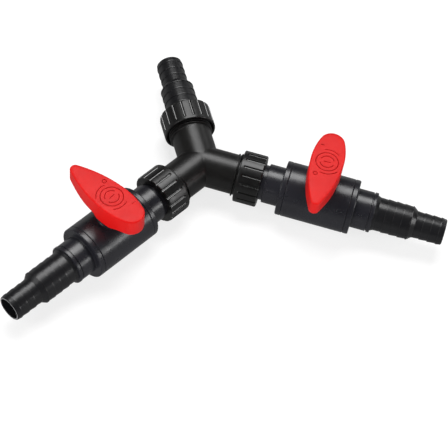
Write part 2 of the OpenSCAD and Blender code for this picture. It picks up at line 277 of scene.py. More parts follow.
def parting_lift(angle):
    """Height of the fine line that the two mould halves leave."""
    off = min(abs(angle - math.pi / 2), abs(angle - 3 * math.pi / 2))
    return PARTING_HEIGHT if off < 1.1 * PARTING_TURN else 0.0


def ring_point(s, r, a):
    """Point at distance s along an arm and r from it, turned by a from the top."""
    return s, r * math.sin(a), r * math.cos(a)


def around(s, r, angles):
    """Points of a ring round the arm at distance s."""
    return [ring_point(s, r, a) for a in angles]


def parted(s, r, angles):
    """Ring with the parting line on it."""
    return [ring_point(s, r + parting_lift(a), a) for a in angles]


def spun(points, turn):
    """Points turned about Z by an angle in degrees."""
    c, s = math.cos(math.radians(turn)), math.sin(math.radians(turn))
    return [(x * c - y * s, x * s + y * c, z) for x, y, z in points]


def lathe(corners, count=144, parting_from=None):
    """Closed ring shell from an outline of (s, r, fillet) corners."""
    shell = Shell()
    angles = turn_angles(count, parting_from is not None)
    loops = []
    for s, r in rounded(corners):
        marked = parting_from is not None and r > parting_from
        loops.append(shell.loop((parted if marked else around)(s, r, angles)))
    shell.strip(loops, closed=True)
    return shell


def arm_place(arm):
    """From an arm's own axes in millimetres to the frame in metres."""
    return CENTRE_PLACE @ Matrix.Rotation(math.radians(ARMS[arm]), 4, "Z") @ Matrix.Scale(MM, 4)


def valve_place(arm):
    """From a valve's own axes, stem along +Z, to the frame."""
    return arm_place(arm) @ Matrix.Rotation(math.radians(VALVE_TILT[arm]), 4, "X")


def stem_place(arm):
    """From a handle's own axes, tip along +Y, to the frame."""
    turn = math.radians(HANDLE_TURN[arm] + 180)
    return valve_place(arm) @ Matrix.Translation((STEM_AT, 0, 0)) @ Matrix.Rotation(turn, 4, "Z")


def make_piece(name, shells, place, material, body, node, crease=32, merge=False):
    """One piece from closed shells, riding on its body in place of its CAD node."""
    points, faces = [], []
    for shell in shells:
        base = len(points)
        points += shell.points
        faces += [tuple(base + i for i in face) for face in shell.faces]
    mesh = bpy.data.meshes.new(name)
    mesh.from_pydata(points, [], faces)
    mesh.transform(place)
    bm = bmesh.new()
    bm.from_mesh(mesh)
    if merge:
        bmesh.ops.remove_doubles(bm, verts=bm.verts, dist=0.004 * MM)
        bmesh.ops.dissolve_degenerate(bm, edges=bm.edges, dist=0.002 * MM)
    bmesh.ops.recalc_face_normals(bm, faces=bm.faces)
    bm.to_mesh(mesh)
    bm.free()
    mesh.shade_smooth()
    mesh.set_sharp_from_angle(angle=math.radians(crease))
    mesh.materials.append(material)
    piece = bpy.data.objects.new(name, mesh)
    bpy.context.scene.collection.objects.link(piece)
    weighted = piece.modifiers.new("weighted_normals", "WEIGHTED_NORMAL")
    weighted.keep_sharp = True
    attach(piece, body)
    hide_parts(node)
    return piece


# ---- Materials ---------------------------------------------------------------------
class Nodes:
    """Short calls for a material's node tree."""

    def __init__(self, name):
        self.material = bpy.data.materials.new(name)
        self.material.use_nodes = True
        self.tree = self.material.node_tree
        self.shader = self.tree.nodes["Principled BSDF"]
        self.place = self.tree.nodes.new("ShaderNodeTexCoord").outputs["Object"]

    def link(self, source, target):
        self.tree.links.new(source, target)

    def noise(self, size_mm, detail):
        node = self.tree.nodes.new("ShaderNodeTexNoise")
        node.inputs["Scale"].default_value = 1 / (size_mm * MM)
        node.inputs["Detail"].default_value = detail
        self.link(self.place, node.inputs["Vector"])
        return node.outputs["Fac"]

    def spread(self, value, low, high, from_low=0.3, from_high=0.7):
        """Value stretched from one range to another and clamped."""
        node = self.tree.nodes.new("ShaderNodeMapRange")
        node.inputs["From Min"].default_value = from_low
        node.inputs["From Max"].default_value = from_high
        node.inputs["To Min"].default_value = low
        node.inputs["To Max"].default_value = high
        self.link(value, node.inputs["Value"])
        return node.outputs["Result"]

    def blend(self, factor, one, other):
        """Colour between two others, each a tuple or a socket."""
        node = self.tree.nodes.new("ShaderNodeMix")
        node.data_type = "RGBA"
        self.link(factor, node.inputs["Factor"])
        for socket, value in (("A", one), ("B", other)):
            target = [i for i in node.inputs if i.name == socket and i.type == "RGBA"][0]
            if isinstance(value, tuple):
                target.default_value = (*value, 1)
            else:
                self.link(value, target)
        return [o for o in node.outputs if o.type == "RGBA"][0]

    def bump(self, height, depth_mm, normal=None):
        node = self.tree.nodes.new("ShaderNodeBump")
        node.inputs["Strength"].default_value = 1.0
        node.inputs["Distance"].default_value = depth_mm * MM
        self.link(height, node.inputs["Height"])
        if normal:
            self.link(normal, node.inputs["Normal"])
        return node.outputs["Normal"]

    def edges(self, low, high):
        """1 on convex edges, 0 elsewhere."""
        node = self.tree.nodes.new("ShaderNodeNewGeometry")
        return self.spread(node.outputs["Pointiness"], 0.0, 1.0, low, high)


def moulded_plastic(name, base, lighter, wear_and_highlight_colour, roughness,
                    specular=0.35, grain_depth=0.003, wave_depth=0.008):
    """Injection moulded plastic: cloudy tint, fine grain, slight sink, and paler edges that are partly wear
    and partly painted highlight.
    """
    n = Nodes(name)
    cloud = n.spread(n.noise(14, 3), 0.0, 1.0, 0.35, 0.65)
    tint = n.blend(cloud, base, lighter)
    # Convex edges turn paler where this noise allows: partly wear, partly a painted highlight standing in for
    # the glint along the edges.
    wear_and_highlight_patches = n.spread(n.noise(2.2, 4), 0.0, 1.0, 0.42, 0.6)
    edge = n.tree.nodes.new("ShaderNodeMath")
    edge.operation = "MULTIPLY"
    n.link(n.edges(0.52, 0.6), edge.inputs[0])
    n.link(wear_and_highlight_patches, edge.inputs[1])
    n.link(n.blend(edge.outputs["Value"], tint, wear_and_highlight_colour), n.shader.inputs["Base Color"])
    n.link(n.spread(n.noise(5, 4), roughness - 0.03, roughness + 0.03), n.shader.inputs["Roughness"])
    wave = n.bump(n.noise(9, 1), wave_depth)
    n.link(n.bump(n.noise(0.7, 2), grain_depth, wave), n.shader.inputs["Normal"])
    n.shader.inputs["Specular IOR Level"].default_value = specular
    return n.material


def soft_rubber(name):
    """Dull black rubber with a dusty, grainy surface."""
    n = Nodes(name)
    cloud = n.spread(n.noise(3, 3), 0.0, 1.0, 0.35, 0.65)
    n.link(n.blend(cloud, (0.012, 0.012, 0.012), (0.022, 0.021, 0.02)), n.shader.inputs["Base Color"])
    n.link(n.spread(n.noise(1.5, 3), 0.6, 0.8), n.shader.inputs["Roughness"])
    n.link(n.bump(n.noise(0.5, 3), 0.02), n.shader.inputs["Normal"])
    return n.material


BLACK = moulded_plastic("black_plastic", (0.0035, 0.0034, 0.0033), (0.0055, 0.0052, 0.0049),
                        (0.02, 0.02, 0.02), 0.36)
NUT = moulded_plastic("nut_plastic", (0.0035, 0.0035, 0.0035), (0.005, 0.005, 0.005),
                      (0.05, 0.05, 0.05), 0.33, specular=0.4)
GROOVE = moulded_plastic("nut_groove_plastic", (0.0035, 0.0035, 0.0035), (0.005, 0.005, 0.005),
                         (0.05, 0.05, 0.05), 0.14, specular=0.75, grain_depth=0.001)
# The hose tails' pale edge colour is mostly painted highlight: it lightens the barb crests and edges as their
# glints would.
TAIL = moulded_plastic("tail_plastic", (0.0062, 0.0062, 0.0072), (0.0082, 0.0082, 0.009),
                       (0.12, 0.12, 0.125), 0.31, specular=0.36)
# Pale grey for the tails' end faces: a painted highlight standing in for the bright rim at the mouth.
MOUTH_HIGHLIGHT = moulded_plastic("tail_mouth_painted_highlight", (0.17, 0.17, 0.175), (0.21, 0.21, 0.215),
                        (0.25, 0.25, 0.255), 0.4)
PVC = moulded_plastic("grey_pvc", (0.0095, 0.0095, 0.0125), (0.012, 0.012, 0.0155),
                      (0.04, 0.04, 0.045), 0.29, specular=0.45, grain_depth=0.0006, wave_depth=0.0015)
RED = moulded_plastic("red_plastic", (0.53, 0.003, 0.0027), (0.58, 0.005, 0.004),
                      (0.7, 0.04, 0.03), 0.5, specular=0.2)
# Darker, duller red for the emblem's raised lines: painted shade standing in for the shadows around the
# moulded relief.
RED_MARK_SHADE = moulded_plastic("red_mark_painted_shade", (0.30, 0.002, 0.002), (0.34, 0.003, 0.003),
                           (0.36, 0.004, 0.004), 0.6, specular=0.1)
SEAT = moulded_plastic("seat_ptfe", (0.72, 0.72, 0.70), (0.80, 0.80, 0.78), (0.85, 0.85, 0.83), 0.4)
BALL = moulded_plastic("ball_plastic", (0.62, 0.62, 0.60), (0.70, 0.70, 0.68), (0.8, 0.8, 0.78), 0.22)
STEM = moulded_plastic("stem_plastic", (0.22, 0.225, 0.235), (0.27, 0.275, 0.285), (0.4, 0.4, 0.41), 0.3)
RUBBER = soft_rubber("rubber")


def dress_cad_nodes():
    """Materials for the CAD nodes that stay: washers, seats, rings, balls and stems."""
    finish = {"gasket": RUBBER, "orings": RUBBER, "seat_inner": SEAT, "seat_outer": SEAT,
              "ball": BALL, "stem": STEM}
    for name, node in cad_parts.items():
        for ending, material in finish.items():
            if name.endswith(ending):
                node.data.materials.clear()
                node.data.materials.append(material)
                node.data.shade_smooth()
                node.data.set_sharp_from_angle(angle=math.radians(32))


def refinish(piece, material, wanted):
    """Gives another material to the faces whose centre is wanted."""
    piece.data.materials.append(material)
    for face in piece.data.polygons:
        if wanted(face.center):
            face.material_index = 1


# ---- Y body ------------------------------------------------------------------------
def thread(root, crest, start, turns, per_turn=72):
    """Helical ridge whose foot is sunk in the wall; it fades in and out over a quarter turn."""
    shell = Shell()
    sink = 0.25 if crest > root else -0.25
    flank = [(-1.0, 0.0), (-0.62, 0.42), (-0.3, 0.9), (-0.12, 1.0)]
    section = flank + [(-x, h) for x, h in reversed(flank)]
    loops = []
    steps = int(turns * per_turn)
    for i in range(steps + 1):
        angle = 2 * math.pi * i / per_turn
        along = start + THREAD_PITCH * i / per_turn
        fade = min(1.0, 4 * i / per_turn, 4 * (steps - i) / per_turn)
        fade = 0.02 + 0.98 * fade * fade * (3 - 2 * fade)
        ridge = [(along + THREAD_HALF_FOOT * x, root - sink if h == 0 else root + (crest - root) * h * fade)
                 for x, h in section]
        loops.append(shell.loop([ring_point(s, r, angle) for s, r in ridge]))
    shell.strip(loops)
    for loop in (loops[0], loops[-1]):
        shell.faces.append(tuple(loop))
    return shell


def mitre(r, angle):
    """Where an arm's tube of radius r meets its neighbours: the seam lies in planes at 60 degrees."""
    return abs(r * math.sin(angle)) / math.sqrt(3)


def y_arm(turn):
    """One third of the Y, from the seams to the port face and back down the bore."""
    angles = turn_angles(144)
    near = [0, 0.35, 0.7, 1.05, 1.4, 1.8, 2.3, 3.0, 4.0]
    seam_fade = 30
    shell = Shell()

    def sloped(r, offset, lift=True):
        """Ring an offset past the seams, which gets squarer to the arm as it goes out."""
        ring = []
        for a in angles:
            start = mitre(r, a)
            radius = r + (parting_lift(a) if lift and offset > 1 else 0)
            ring.append(ring_point(start + offset * (1 - start / seam_fade), radius, a))
        return ring

    rings = [sloped(TUBE_R, offset) for offset in near]
    rings += [parted(s, TUBE_R, angles) for s in (14, 20, 25.4)]
    port = rounded([(26.0, TUBE_R, 0), (PORT_FACE, TUBE_R, 0.4), (PORT_FACE, TUBE_BORE, 0.3),
                    (20.0, TUBE_BORE, 0)])
    rings += [around(s, r, angles) for s, r in port]
    rings += [sloped(TUBE_BORE, offset, lift=False) for offset in reversed(near)]
    shell.strip([shell.loop(spun(ring, turn)) for ring in rings])
    return shell


def soften_seams(piece, width=2.2, reach=22, pull=0.6, rounds=14):
    """Rounds the creases where the arms meet, as a moulded fillet does: each round pulls the points
    near a seam towards the middle of their neighbours."""
    mesh = piece.data
    far = 1e9
    count = len(mesh.vertices)
    points = np.zeros(count * 3)
    mesh.vertices.foreach_get("co", points)
    points = points.reshape(-1, 3)
    edges = np.array([e.vertices[:] for e in mesh.edges])
    local = (points - np.array(CENTRE)) / MM
    near = np.full(count, far)
    for turn in (30, 150, 270):
        side = np.array((math.cos(math.radians(turn)), math.sin(math.radians(turn))))
        off = np.abs(local[:, 0] * side[1] - local[:, 1] * side[0])
        near = np.minimum(near, np.where(local[:, :2] @ side > -0.5, off, far))
    weight = np.clip(1 - near / width, 0, 1) * (np.linalg.norm(local[:, :2], axis=1) < reach)
    for _ in range(rounds):
        total = np.zeros_like(points)
        degree = np.zeros(count)
        for one, other in ((0, 1), (1, 0)):
            np.add.at(total, edges[:, one], points[edges[:, other]])
            np.add.at(degree, edges[:, one], 1)
        points += (total / degree[:, None] - points) * (pull * weight)[:, None]
    mesh.vertices.foreach_set("co", points.ravel())
    mesh.update()


def make_y_body():
    shells = [y_arm(turn) for turn in ARMS.values()]
    for turn in ARMS.values():
        ridge = thread(TUBE_R, THREAD_CREST, THREAD_START, THREAD_TURNS)
        ridge.points = spun(ridge.points, turn)
        shells.append(ridge)
    piece = make_piece("y_tee", shells, CENTRE_PLACE @ Matrix.Scale(MM, 4), BLACK, "y", "y_body",
                       merge=True)
    soften_seams(piece)


# ---- Union nuts --------------------------------------------------------------------
def slot_depth_at(along, across):
    """Depth of a grip slot: a round groove with a closed round end, open at the nut's far end."""
    half = SLOT_WIDTH / 2
    short = min(0.0, along - (SLOT_FROM + half))
    off = math.hypot(across, short)
    groove_r = (half * half + SLOT_DEPTH * SLOT_DEPTH) / (2 * SLOT_DEPTH)
    if off >= half:
        return 0.0
    return math.sqrt(groove_r * groove_r - off * off) - groove_r + SLOT_DEPTH


def nut_offsets():
    """Places across one slot and its land, in millimetres at the nut's outside, from the slot's
    middle; closest where the groove meets the land."""
    half_slot = SLOT_WIDTH / 2
    half_pitch = math.pi * NUT_R / SLOTS
    slot = [half_slot * x for x in (0, 0.15, 0.3, 0.45, 0.6, 0.74, 0.86, 0.94, 1.0, 1.03, 1.1)]
    land = [slot[-1] + (half_pitch - slot[-1]) * t for t in (0.3, 0.65, 1.0)]
    return [-x for x in reversed(slot[1:] + land[:-1])] + slot + land


def nut_outline():
    """Nut section from the mouth over the outside and back through the bore, with extra rings
    at the slots' round ends."""
    mouth = [(NUT_FROM + 3, NUT_BORE, 0), (NUT_FROM, NUT_R - NUT_RIM, 0.3), (NUT_FROM, NUT_R, 0.8),
             (NUT_TO, NUT_R, 0)]
    ends = (-0.3, -0.2, -0.14, -0.06, 0.02, 0.1, 0.18, 0.26, 0.34, 0.5, 0.8, 1.1)
    slot_ends = [SLOT_FROM + SLOT_WIDTH / 2 * t for t in ends]
    along_slots = [38.0, 42.0, 46.0]
    back = [(along_slots[-1], NUT_R, 0), (NUT_TO, NUT_R, 0.9), (NUT_TO, NUT_LIP_BORE, 0.3),
            (NUT_LIP_FROM, NUT_LIP_BORE, 0.2), (NUT_LIP_FROM, NUT_BORE, 0.2),
            (NUT_FROM + NUT_MOUTH, NUT_BORE, 0.2), (NUT_FROM, NUT_R - NUT_RIM, 0)]
    return (rounded(mouth)[1:-1] + [(s, NUT_R) for s in slot_ends + along_slots]
            + rounded(back, 5)[1:-1])


def make_nut(arm):
    turn = math.radians(NUT_TURN[arm])
    pitch = 2 * math.pi / SLOTS
    offsets = nut_offsets()
    shell = Shell()
    loops = []
    for s, r in nut_outline():
        ring = []
        for i in range(SLOTS):
            for across in offsets:
                radius = min(r, NUT_R - slot_depth_at(s, across)) if r > SLOT_BOTTOM_R else r
                ring.append(ring_point(s, radius, turn + i * pitch + across / NUT_R))
        loops.append(shell.loop(ring))
    shell.strip(loops, closed=True)
    inner_thread = thread(NUT_BORE, THREAD_CREST + 0.1, NUT_THREAD_START, NUT_THREAD_TURNS)
    piece = make_piece(f"{arm}_ring_nut", [shell, inner_thread], arm_place(arm), NUT, f"{arm}_nut",
                       f"{arm}_union_nut", crease=40)
    to_arm = arm_place(arm).inverted()
    refinish(piece, GROOVE, lambda centre: in_slot(to_arm @ centre))


def in_slot(point):
    return point.x > SLOT_FROM and SLOT_BOTTOM_R < math.hypot(point.y, point.z) < NUT_R - 0.06


# ---- Hose tails --------------------------------------------------------------------
def barbs(first, count, crest):
    """Corners of a row of barbs: a sharp step up, a short land, then a taper to the next root."""
    corners = []
    for i in range(count):
        at = first + i * BARB_PITCH
        corners += [(at, crest - BARB_STEP, 0.12), (at + 0.02, crest, 0.1), (at + BARB_LAND, crest, 0.3)]
    return corners


def tail_corners(shoulder):
    """Corners from the first large barb to the bore at the tip."""
    tip = shoulder + TAIL_PAST_SHOULDER
    tip_r = SMALL_R - BARB_STEP - 0.05
    return (barbs(shoulder - 3 * BARB_PITCH, 4, LARGE_R)
            + [(shoulder + SMALL_FROM, SMALL_R, 0.8)]
            + barbs(shoulder + SMALL_BARBS_FROM, 3, SMALL_R)
            + [(tip - TIP_CHAMFER, tip_r, 0.15), (tip, tip_r - TIP_CHAMFER, 0.1), (tip, TAIL_BORE, 0.3)])


def make_tail(arm, root_corners, body):
    """Tail that starts with its own root corners; its mouth's end face is painted pale grey, a painted
    highlight for the bright rim.
    """
    shell = lathe(root_corners + tail_corners(SHOULDER[arm]), parting_from=TAIL_ROOT_R - 4)
    piece = make_piece(f"{arm}_barbed_tail", [shell], arm_place(arm), TAIL, body, f"{arm}_hose_tail")
    face_from = SHOULDER[arm] + TAIL_PAST_SHOULDER - 0.12
    to_arm = arm_place(arm).inverted()
    # The end face at the tip gets the pale grey, a painted highlight.
    refinish(piece, MOUTH_HIGHLIGHT, lambda centre: (to_arm @ centre).x > face_from)


def make_inlet_tail():
    corners = [(FLANGE_FROM, TAIL_BORE, 0.3), (FLANGE_FROM, FLANGE_R, 0.4), (FLANGE_TO, FLANGE_R, 0.3),
               (FLANGE_TO, UNION_COLLAR_R, 0.3), (NUT_TO + 0.4, UNION_COLLAR_R, 0.3),
               (NUT_TO + 1.0, TAIL_ROOT_R, 0.3)]
    make_tail("inlet", corners, "inlet_tail")


def make_outlet_tail(arm):
    spigot_r = TAIL_SPIGOT_R - FACE_GAP
    collar_from = SOCKET_END + FACE_GAP
    corners = [(TAIL_SPIGOT_FROM, TAIL_BORE, 0.3), (TAIL_SPIGOT_FROM, spigot_r, 0.3),
               (collar_from, spigot_r, 0), (collar_from, TAIL_SPIGOT_R + 1.2, 0.25),
               (SOCKET_END + 2.2, TAIL_ROOT_R, 1.2)]
    make_tail(arm, corners, f"{arm}_valve")


# ---- Ball valves -------------------------------------------------------------------
def make_union_end(arm):
    """Flange, collar, neck and end cap, with the spigot that reaches into the barrel."""
    spigot_r = SPIGOT_R - FACE_GAP
    seam = SHELL_FROM - FACE_GAP
    low = STEM_AT - CAVITY_HALF
    pocket_end = STEM_AT - POCKET_HALF
    corners = [(FLANGE_FROM, VALVE_PASSAGE, 0.3), (FLANGE_FROM, FLANGE_R, 0.4), (FLANGE_TO, FLANGE_R, 0.3),
               (FLANGE_TO, UNION_COLLAR_R, 0.3), (NECK_FROM, UNION_COLLAR_R, 0), (NECK_FROM, NECK_R, 0.5),
               (BODY_FROM, NECK_R, 0.5), (BODY_FROM, VALVE_R, 0.95), (SHELL_FROM - SEAM_HALF, VALVE_R, 0.3),
               (seam, VALVE_R - SEAM_DEPTH, 0), (seam, spigot_r, 0), (low, spigot_r, 0.3),
               (low, POCKET_R, 0.2), (pocket_end, POCKET_R, 0.2), (pocket_end, VALVE_PASSAGE, 0.2)]
    make_piece(f"{arm}_union_cap", [lathe(corners)], arm_place(arm), PVC, f"{arm}_valve",
               f"{arm}_union_end")


def make_socket_end(arm):
    """End cap with its spigot, and the socket with a groove and a lip at its mouth."""
    spigot_r = SPIGOT_R - FACE_GAP
    seam = SHELL_TO + FACE_GAP
    high = STEM_AT + CAVITY_HALF
    pocket_end = STEM_AT + POCKET_HALF
    lip_r = SOCKET_R + 0.3
    groove_r = SOCKET_R - LIP_GROOVE_DEPTH
    lip_from = SOCKET_END - SOCKET_LIP
    corners = [(high, POCKET_R, 0.2), (high, spigot_r, 0.3), (seam, spigot_r, 0),
               (seam, VALVE_R - SEAM_DEPTH, 0), (SHELL_TO + SEAM_HALF, VALVE_R, 0.3),
               (BODY_TO, VALVE_R, 0.95), (BODY_TO, SOCKET_R, 0.5),
               (lip_from - LIP_GROOVE, SOCKET_R, 0.25), (lip_from - LIP_GROOVE + 0.05, groove_r, 0.15),
               (lip_from - 0.05, groove_r, 0.15), (lip_from, lip_r, 0.3), (SOCKET_END, lip_r, 0.6),
               (SOCKET_END, TAIL_SPIGOT_R, 0.1), (TAIL_SPIGOT_FROM, TAIL_SPIGOT_R, 0),
               (TAIL_SPIGOT_FROM, VALVE_PASSAGE, 0.2), (pocket_end, VALVE_PASSAGE, 0.2),
               (pocket_end, POCKET_R, 0)]
    make_piece(f"{arm}_socket_cap", [lathe(corners)], arm_place(arm), PVC, f"{arm}_valve",
               f"{arm}_socket_end")


def barrel_angles():
    """Angles round the barrel: an even window over the top, then the rest of the way round."""
    top = [-WINDOW_HALF + 2 * WINDOW_HALF * i / WINDOW_STEPS for i in range(WINDOW_STEPS + 1)]
    rest = 64
    return top + [WINDOW_HALF + (2 * math.pi - 2 * WINDOW_HALF) * i / rest for i in range(1, rest)]


def pierced_tube(shell, profile, reach, hole_r):
    """Tube surface along profile, (s, r) pairs whose middle stretch has one radius, with an upright
    round hole. Returns its two end loops and the loop round the hole."""
    angles = barrel_angles()
    radius = profile[len(profile) // 2][1]
    window = [(STEM_AT - reach + 2 * reach * i / WINDOW_STEPS, radius) for i in range(WINDOW_STEPS + 1)]
    before = [p for p in profile if p[0] < STEM_AT - reach - 0.01]
    after = [p for p in profile if p[0] > STEM_AT + reach + 0.01]
    rows = before + window + after
    first, last = len(before), len(before) + WINDOW_STEPS
    index = {}
    for i, (s, r) in enumerate(rows):
        for j, a in enumerate(angles):
            if first < i < last and 0 < j < WINDOW_STEPS:
                continue
            index[i, j] = shell.loop([ring_point(s, r, a)])[0]
    count = len(angles)
    for i in range(len(rows) - 1):
        for j in range(count):
            if first <= i < last and j < WINDOW_STEPS:
                continue
            k = (j + 1) % count
            shell.faces.append((index[i, j], index[i + 1, j], index[i + 1, k], index[i, k]))
    rim = [index[first, j] for j in range(WINDOW_STEPS)]
    rim += [index[i, WINDOW_STEPS] for i in range(first, last)]
    rim += [index[last, j] for j in range(WINDOW_STEPS, 0, -1)]
    rim += [index[i, 0] for i in range(last, first, -1)]
    inner = rim
    for t in (0.3, 0.55, 0.75, 0.9, 1.0):
        ring = []
        for k, corner in enumerate(rim):
            x, y, _ = shell.points[corner]
            goal_x, goal_y = hole_point(k, hole_r)
            px, py = x + (goal_x - x) * t, y + (goal_y - y) * t
            ring.append((px, py, math.sqrt(radius * radius - py * py)))
        loop = shell.loop(ring)
        shell.bridge(inner, loop)
        inner = loop
    start = [index[0, j] for j in range(count)]
    end = [index[len(rows) - 1, j] for j in range(count)]
    return start, end, inner


def hole_point(k, r):
    """The k-th of the points round an upright hole, in the order of the window's rim."""
    psi = math.radians(225) - 2 * math.pi * k / (4 * WINDOW_STEPS)
    return STEM_AT + r * math.cos(psi), r * math.sin(psi)


def hole_ring(r, height):
    """Points round the stem axis; height is a number or a function of the sideways place."""
    ring = []
    for k in range(4 * WINDOW_STEPS):
        x, y = hole_point(k, r)
        ring.append((x, y, height(y) if callable(height) else height))
    return ring


def valve_shell():
    """Barrel, boss and stem hole in one closed surface."""
    shell = Shell()
    edge = [(0.0, SEAM_DEPTH), (0.1, 0.25), (0.28, 0.08), (0.5, 0.0), (3.0, 0.0)]
    outer = [(SHELL_FROM + a, VALVE_R - b) for a, b in edge]
    outer += [(SHELL_TO - a, VALVE_R - b) for a, b in reversed(edge)]
    out_left, out_right, rim = pierced_tube(shell, outer, reach=16, hole_r=BOSS_R + BOSS_FILLET)
    loops = [rim]
    for step in range(1, 7):
        turn = math.radians(15 * step)
        rise = BOSS_FILLET * (1 - math.cos(turn))
        r = BOSS_R + BOSS_FILLET * (1 - math.sin(turn))
        loops.append(shell.loop(hole_ring(r, lambda y: math.sqrt(VALVE_R ** 2 - y * y) + rise)))
    top = rounded([(BOSS_R, 15, 0), (BOSS_R, BOSS_TOP, 0.3), (STEM_HOLE_R, BOSS_TOP, 0.35),
                   (STEM_HOLE_R, FLANGE_POCKET_TOP, 0), (FLANGE_POCKET_R, FLANGE_POCKET_TOP, 0)])[1:]
    loops += [shell.loop(hole_ring(r, z)) for r, z in top]
    low, high = STEM_AT - CAVITY_HALF, STEM_AT + CAVITY_HALF
    margin = 0.4
    bore = [(SHELL_FROM, SPIGOT_R), (low - margin, SPIGOT_R), (low, SPIGOT_R), (low, CAVITY_R),
            (high, CAVITY_R), (high, SPIGOT_R), (high + margin, SPIGOT_R), (SHELL_TO, SPIGOT_R)]
    in_left, in_right, inner_rim = pierced_tube(shell, bore, reach=CAVITY_HALF - margin,
                                                hole_r=FLANGE_POCKET_R)
    shell.strip(loops + [inner_rim])
    shell.bridge(out_left, in_left)
    shell.bridge(out_right, in_right)
    return shell


def stop_ring():
    """Ring on the boss, open over the quarter turn that the handle's lug travels."""
    shell = Shell()
    outer_r = BOSS_R - 0.05
    foot = BOSS_TOP - 0.4
    section = rounded([(STOP_INNER_R, foot, 0), (outer_r, foot, 0), (outer_r, STOP_TOP, 0.4),
                       (STOP_INNER_R, STOP_TOP, 0.4)])
    free = QUARTER + LUG_ANGLE + 2 * STOP_PLAY
    first = math.radians(LUG_AT + 180 + QUARTER / 2 + free / 2)
    sweep = math.radians(360 - free)
    steps = 60
    loops = []
    for i in range(steps + 1):
        a = first + sweep * i / steps
        loops.append(shell.loop([(STEM_AT + r * math.cos(a), r * math.sin(a), z) for r, z in section]))
    shell.strip(loops)
    shell.faces += [tuple(loops[0]), tuple(loops[-1])]
    return shell


def make_valve_body(arm):
    make_piece(f"{arm}_valve_housing", [valve_shell(), stop_ring()], valve_place(arm), PVC,
               f"{arm}_valve", f"{arm}_valve_body")


# ---- Handles -----------------------------------------------------------------------
def arc(x, y, r, first, last, steps):
    """Points of an arc between two angles in degrees, the last one left out."""
    turns = [math.radians(first + (last - first) * i / steps) for i in range(steps)]
    return [(x + r * math.cos(turn), y + r * math.sin(turn)) for turn in turns]


TIP_SIDE = TIP_ARC - HALF_WIDTH
HEEL_SIDE = HEEL_ARC - HALF_WIDTH
TIP_AT = WIDEST_AT + math.sqrt((TIP_ARC - TIP_R) ** 2 - TIP_SIDE ** 2)
HEEL_AT = WIDEST_AT - math.sqrt((HEEL_ARC - HEEL_R) ** 2 - HEEL_SIDE ** 2)


def leaf(inset):
    """Leaf outline of arcs that meet smoothly, tip along +Y, moved in by inset."""
    tip_turn = math.degrees(math.atan2(TIP_AT - WIDEST_AT, TIP_SIDE))
    heel_turn = math.degrees(math.atan2(WIDEST_AT - HEEL_AT, HEEL_SIDE))
    return (arc(-TIP_SIDE, WIDEST_AT, TIP_ARC - inset, 0, tip_turn, 26)
            + arc(0, TIP_AT, TIP_R - inset, tip_turn, 180 - tip_turn, 18)
            + arc(TIP_SIDE, WIDEST_AT, TIP_ARC - inset, 180 - tip_turn, 180, 26)
            + arc(HEEL_SIDE, WIDEST_AT, HEEL_ARC - inset, 180, 180 + heel_turn, 12)
            + arc(0, HEEL_AT, HEEL_R - inset, 180 + heel_turn, 360 - heel_turn, 30)
            + arc(-HEEL_SIDE, WIDEST_AT, HEEL_ARC - inset, 360 - heel_turn, 360, 12))


def blend(stretch, y):
    """Smooth step from 0 to 1 along a stretch, (where it starts, length), towards the heel."""
    x = min(1.0, max(0.0, (stretch[0] - y) / stretch[1]))
    return (1 - math.cos(math.pi * x)) / 2


def skirt_bottom(y):
    """Lower edge of the skirt: it falls slowly from the tip, dips beside the hub to hide the stops,
    and rises again towards the heel."""
    return (SKIRT_TIP - (SKIRT_TIP - SKIRT_SIDE) * blend(SIDE_FALL, y)
            - (SKIRT_SIDE - SKIRT_DIP) * blend(DIP_STEP, y)
            + (SKIRT_HEEL - SKIRT_DIP) * blend(HEEL_RISE, y))


def toward_spine(outline, t, height):
    """Outline drawn in towards the leaf's middle line by the share t."""
    low, high = HEEL_AT - HEEL_R + 5, TIP_AT
    points = []
    for x, y in outline:
        middle = min(max(y, low), high)
        points.append((x * (1 - t), y + (middle - y) * t, height))
    return points


def handle_shell():
    """Hollow leaf: crowned top, rounded rim, skirt of changing depth, underside."""
    shell = Shell()
    loops = []
    edge = leaf(HANDLE_RIM)
    for t in (1.0, 0.8, 0.6, 0.4, 0.22, 0.1):
        loops.append(shell.loop(toward_spine(edge, t, HANDLE_TOP - HANDLE_CROWN * (1 - t) ** 3)))
    fall = HANDLE_TOP - HANDLE_CROWN - HANDLE_RIM
    for step in range(8):
        turn = math.radians(90 - 90 * step / 7)
        inset = HANDLE_RIM * (1 - math.cos(turn))
        height = fall + HANDLE_RIM * math.sin(turn)
        loops.append(shell.loop([(x, y, height) for x, y in leaf(inset)]))
    foot = 0.6
    for share in (0.25, 0.55, 0.85):
        loops.append(shell.loop([(x, y, fall + (skirt_bottom(y) + foot - fall) * share)
                                 for x, y in leaf(0)]))
    for inset, lift in ((0.0, foot), (0.08, 0.25), (0.3, 0.05), (0.6, 0.0),
                        (1.2, 0.0), (1.5, 0.05), (1.72, 0.25), (HANDLE_WALL, foot)):
        loops.append(shell.loop([(x, y, skirt_bottom(y) + lift) for x, y in leaf(inset)]))
    under = HANDLE_TOP - HANDLE_TOP_WALL
    for share in (0.4, 0.8):
        loops.append(shell.loop([(x, y, skirt_bottom(y) + foot + (under - skirt_bottom(y) - 2 * foot) * share)
                                 for x, y in leaf(HANDLE_WALL)]))
    inner_edge = HANDLE_WALL + 0.35
    for inset, drop in ((HANDLE_WALL, foot), (HANDLE_WALL + 0.12, 0.25), (inner_edge, 0.06)):
        loops.append(shell.loop([(x, y, under - drop) for x, y in leaf(inset)]))
    for t in (0.1, 0.3, 0.6, 1.0):
        loops.append(shell.loop(toward_spine(leaf(inner_edge), t, under)))
    shell.strip(loops)
    return shell


